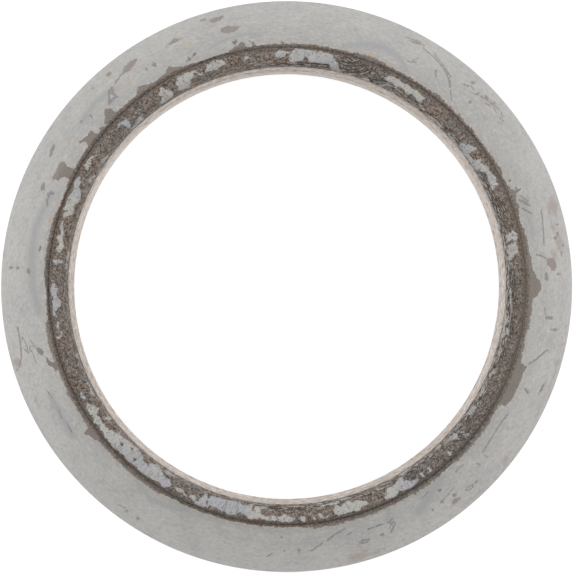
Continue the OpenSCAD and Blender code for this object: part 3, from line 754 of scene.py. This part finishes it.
# Painted light: the bore wall is paler low down on its +Y side
low_light = coated.calc("MULTIPLY", coated.spread(unit_xy["Y"], 0.1, 0.7, 0.0, 0.55), coated.spread(xyz["Z"], 8.0, 3.0))
bore_wall = coated.mix(low_light, bore_wall, srgb(250, 245, 240))
clean_side = coated.spread(coated.calc("ADD", unit_xy["X"], unit_xy["Y"]), 0.9, 1.3, 0.0, 0.9)
bore_edge = coated.calc("ADD", clean_side, coated.calc("MULTIPLY_ADD", rub_noise, 2.5, 13.9))
on_bore = coated.calc("MULTIPLY", coated.spread(plan, 30.2, 30.05), coated.spread(coated.calc("SUBTRACT", xyz["Z"], bore_edge), 0.4, -0.4))
turned_in = coated.calc("MULTIPLY", coated.spread(plan, 30.6, 30.15), coated.spread(mottle, 0.4, 0.56, 0.1, 0.6))
turned_grain = coated.mix(coated.spread(grain_small, 0.42, 0.58), srgb(176, 170, 164), srgb(104, 97, 91))
body = coated.mix(turned_in, body, turned_grain)
# The lip between the neck and the bore: slivers of coating and dark gaps, drawn out round the ring; the dark gaps are
# partly painted shade of the rounded lip
lip_lines = coated.noise(wrapped(0.9, 4.2), 1.0, 3.0, 0.75)
on_lip = coated.calc("MULTIPLY", coated.spread(plan, 31.15, 30.55), coated.spread(unit_xy["X"], -0.6, 0.1, 0.45, 1.0))
lip_pale = coated.spread(unit_xy["X"], 0.7, 0.95, 0.55, 0.50)
lip_pale = coated.spread(lip_lines, lip_pale, coated.calc("ADD", lip_pale, 0.08), 0.0, 0.85)
body = coated.mix(coated.calc("MULTIPLY", on_lip, lip_pale), body, srgb(188, 184, 180))
# Partly painted shade: dark gaps on the rounded lip
body = coated.mix(coated.calc("MULTIPLY", on_lip, coated.spread(lip_lines, 0.47, 0.39, 0.0, 0.9)), body, srgb(58, 52, 48))
body = coated.mix(on_bore, body, bore_wall)
colour = coated.mix(has_coat, body, grey)
coated.tree.links.new(colour, coated.shader.inputs["Base Color"])
roughness = coated.spread(has_coat, 0.0, 1.0, 0.82, 0.6)
coated.tree.links.new(roughness, coated.shader.inputs["Roughness"])
coated.shader.inputs["Specular IOR Level"].default_value = 0.3
relief = coated.calc("MULTIPLY_ADD", has_coat, 0.6, coated.calc("MULTIPLY", grain_small, 0.9))
relief = coated.calc("MULTIPLY_ADD", around_lines, 0.15, relief)
bump = coated.add("ShaderNodeBump", {"Strength": 0.35, "Distance": 0.0001, "Height": relief})
coated.tree.links.new(bump.outputs[0], coated.shader.inputs["Normal"])
ring_mesh.materials.append(coated.material)
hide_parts("gasket_ring")
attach(ring, "root")

# The strands of wire that show on the worn neck. They are steel wire 0.2 mm thick, bent by the
# knitting into loops, and the die has pressed them level with the filler round them.
def neck_height(radius):
    """Height of the neck's end at a distance from the axis: flat, and a quarter circle into the
    bore."""
    inwards = np.clip(bore_r + bore_top_round - radius, 0, bore_top_round)
    return ring_h - bore_top_round + np.sqrt(bore_top_round**2 - inwards**2)


def on_neck_at(path):
    """Points of the neck that the camera sees at a path's angles and pixel radii: the height
    and the place are worked out from each other in turn."""
    angle, seen = np.radians(path[:, 0]), path[:, 1] / photo_scale
    seen_at = np.stack([np.cos(angle), np.sin(angle)], axis=1) * seen[:, None]
    camera_xy = np.array(camera_at[:2])
    z = np.full(len(path), ring_h)
    for _ in range(4):
        share = ((camera_at[2] - z) / camera_at[2])[:, None]
        at = camera_xy + (seen_at - camera_xy) * share
        z = neck_height(np.hypot(*at.T))
    return np.column_stack([at, z])


def wire_tube(path, radius, sides, closed):
    """Points and faces of a wire carried along a path: at each step of the path, a circle across
    its direction. An open wire tapers over its last steps and ends in a flat face."""
    if closed:
        ahead = np.roll(path, -1, axis=0) - np.roll(path, 1, axis=0)
    else:
        ahead = np.gradient(path, axis=0)
        radius = radius * np.clip(np.minimum(np.arange(len(path)), np.arange(len(path))[::-1]) / 2 + 0.35, 0, 1)
    ahead /= np.linalg.norm(ahead, axis=1, keepdims=True)
    side = np.cross(ahead, [0, 0, 1])
    side /= np.linalg.norm(side, axis=1, keepdims=True)
    up = np.cross(side, ahead)
    turn = np.arange(sides) / sides * 2 * math.pi
    radius = np.broadcast_to(radius, len(path))[:, None, None]
    rings = path[:, None] + radius * (np.cos(turn)[:, None] * side[:, None] + np.sin(turn)[:, None] * up[:, None])
    i = np.arange(len(path) if closed else len(path) - 1)[:, None] * sides
    i_next = (i + sides) % (len(path) * sides)
    j = np.arange(sides)
    j_next = (j + 1) % sides
    faces = np.stack([i + j, i_next + j, i_next + j_next, i + j_next], axis=-1).reshape(-1, 4).tolist()
    if not closed:
        faces += [j.tolist(), (j[::-1] + (len(path) - 1) * sides).tolist()]
    return rings.reshape(-1, 3), faces


def wire_piece(name, tubes):
    """One object made of many wires, which rides with the ring."""
    points, faces = [], []
    for tube_points, tube_faces in tubes:
        first = sum(len(part) for part in points)
        points.append(tube_points)
        faces += [[first + corner for corner in face] for face in tube_faces]
    mesh = bpy.data.meshes.new(name)
    mesh.from_pydata((np.concatenate(points) * MM).tolist(), [], faces)
    mesh.shade_smooth()
    mesh.materials.append(wire_paint.material)
    piece = bpy.data.objects.new(name, mesh)
    bpy.context.scene.collection.objects.link(piece)
    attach(piece, "root")


wire_paint = Paint("worn_wire")
where = wire_paint.add("ShaderNodeTexCoord", {}).outputs["Object"]
wire_soot = wire_paint.noise(where, 1400.0, 3.0, 0.6)
wire_scratch = wire_paint.noise(where, 4500.0, 2.0, 0.6)
steel = wire_paint.mix(wire_paint.spread(wire_soot, 0.40, 0.58), srgb(152, 147, 141), srgb(100, 92, 85))
steel = wire_paint.mix(wire_paint.spread(wire_scratch, 0.55, 0.7, 0.0, 0.5), steel, srgb(174, 170, 164))
wire_paint.tree.links.new(steel, wire_paint.shader.inputs["Base Color"])
wire_paint.tree.links.new(wire_paint.spread(wire_soot, 0.35, 0.65, 0.45, 0.7), wire_paint.shader.inputs["Roughness"])
wire_paint.shader.inputs["Metallic"].default_value = 0.35
wire_bump = wire_paint.add("ShaderNodeBump", {"Strength": 0.3, "Distance": 0.00003, "Height": wire_scratch})
wire_paint.tree.links.new(wire_bump.outputs[0], wire_paint.shader.inputs["Normal"])

tubes = []
for path in wire_paths:
    route = on_neck_at(smooth_path(path, 5))
    route[:, 2] -= wire_r + 0.02
    tubes.append(wire_tube(route, wire_r, 6, closed=False))
wire_piece("neck_wires", tubes)

# The courses of knitting at the flat big end. The ring stands on them: the die has pressed the
# loops of wire flat into the filler, side by side, from the bore to the rim.
course_r = [31.55, 33.05, 34.55, 36.05, 37.55, 38.75]
course_loops = [76, 80, 83, 87, 90, 93]
loop_half = 1.0
base_wire_r = 0.12
loop_steps = 14
tubes = []
for number, (radius, loops) in enumerate(zip(course_r, course_loops)):
    # The angle runs on steadily and swings twice in each loop, while the radius swings once,
    # which gives the round-headed loops of plain knitting; a slow noise crushes them a little
    phase = np.arange(loops * loop_steps) / loop_steps * 2 * math.pi
    angle = (phase + number + 1.1 * np.sin(2 * phase)) / loops
    swing = radius + loop_half * np.cos(phase)
    route = np.column_stack([np.cos(angle) * swing, np.sin(angle) * swing, np.full(len(phase), base_wire_r + 0.01)])
    crush = np.column_stack([grain(route, 1.7, 21 + number), grain(route, 1.7, 31 + number), np.zeros(len(phase))])
    route += 0.3 * crush
    route[:, :2] *= (np.clip(np.hypot(*route[:, :2].T), 30.7, 39.2) / np.hypot(*route[:, :2].T))[:, None]
    tubes.append(wire_tube(route, base_wire_r, 6, closed=True))
wire_piece("base_wires", tubes)

# The table that the ring lies on, white paper under soft light. To the camera it is as bright
# as the photo's background, and it keeps a faint shadow where the ring touches it.
table_mesh = bpy.data.meshes.new("white_table")
side = 3.0
table_mesh.from_pydata([(-side, -side, 0), (side, -side, 0), (side, side, 0), (-side, side, 0)], [], [(0, 1, 2, 3)])
table = bpy.data.objects.new("white_table", table_mesh)
bpy.context.scene.collection.objects.link(table)
paper = Paint("white_paper")
rays = paper.add("ShaderNodeLightPath", {}).outputs
seen = paper.calc("MAXIMUM", rays["Is Camera Ray"], rays["Is Glossy Ray"])
seen = paper.calc("MAXIMUM", seen, rays["Is Transmission Ray"])
paper.shader.inputs["Roughness"].default_value = 1.0
paper.shader.inputs["Specular IOR Level"].default_value = 0.0
paper.tree.links.new(paper.mix(seen, srgb(235, 235, 235), srgb(120, 120, 120)), paper.shader.inputs["Base Color"])
paper.shader.inputs["Emission Color"].default_value = (1, 1, 1, 1)
paper.tree.links.new(paper.calc("MULTIPLY", seen, 0.9), paper.shader.inputs["Emission Strength"])
table_mesh.materials.append(paper.material)

# Even white light from all round, and two broad soft lamps, one at each side and a little behind.
world = bpy.data.worlds.new("studio")
world.use_nodes = True
world_nodes = world.node_tree
rays = world_nodes.nodes.new("ShaderNodeLightPath").outputs
light_share = world_nodes.nodes.new("ShaderNodeMix")
world_strength = 0.77
light_share.inputs["A"].default_value = world_strength
light_share.inputs["B"].default_value = 1.0
world_nodes.links.new(rays["Is Camera Ray"], light_share.inputs["Factor"])
world_nodes.nodes["Background"].inputs["Color"].default_value = (1, 1, 1, 1)
world_nodes.links.new(light_share.outputs[0], world_nodes.nodes["Background"].inputs["Strength"])
bpy.context.scene.world = world
for name, azimuth, power in (("lamp_right", 25, 0.8), ("lamp_left", 155, 0.74)):
    lamp = bpy.data.lights.new(name, "SUN")
    lamp.energy = power
    lamp.angle = math.radians(50)
    holder = bpy.data.objects.new(name, lamp)
    elevation = math.radians(35)
    a = math.radians(azimuth)
    towards = Vector((math.cos(a) * math.cos(elevation), math.sin(a) * math.cos(elevation), math.sin(elevation)))
    holder.rotation_euler = towards.to_track_quat("Z", "Y").to_euler()
    bpy.context.scene.collection.objects.link(holder)

# The camera hangs above the ring, almost straight over its axis.
camera = bpy.data.cameras.new("camera")
camera.sensor_width = 36
camera_z = 467.0
frame_half = 40.57
camera.lens = camera.sensor_width / 2 * camera_z / frame_half
camera.clip_start = 0.01
camera.clip_end = 20
stand = bpy.data.objects.new("camera", camera)
stand.location = (-2.4 * MM, -4.3 * MM, camera_z * MM)
aim = Vector((-0.02 * MM, 0, 0))
back = (stand.location - aim).normalized()
right = Vector((0, 1, 0)).cross(back).normalized()
stand.rotation_euler = Matrix((right, back.cross(right), back)).transposed().to_euler()
bpy.context.scene.collection.objects.link(stand)
bpy.context.scene.camera = stand
bpy.context.scene.view_settings.view_transform = "Standard"
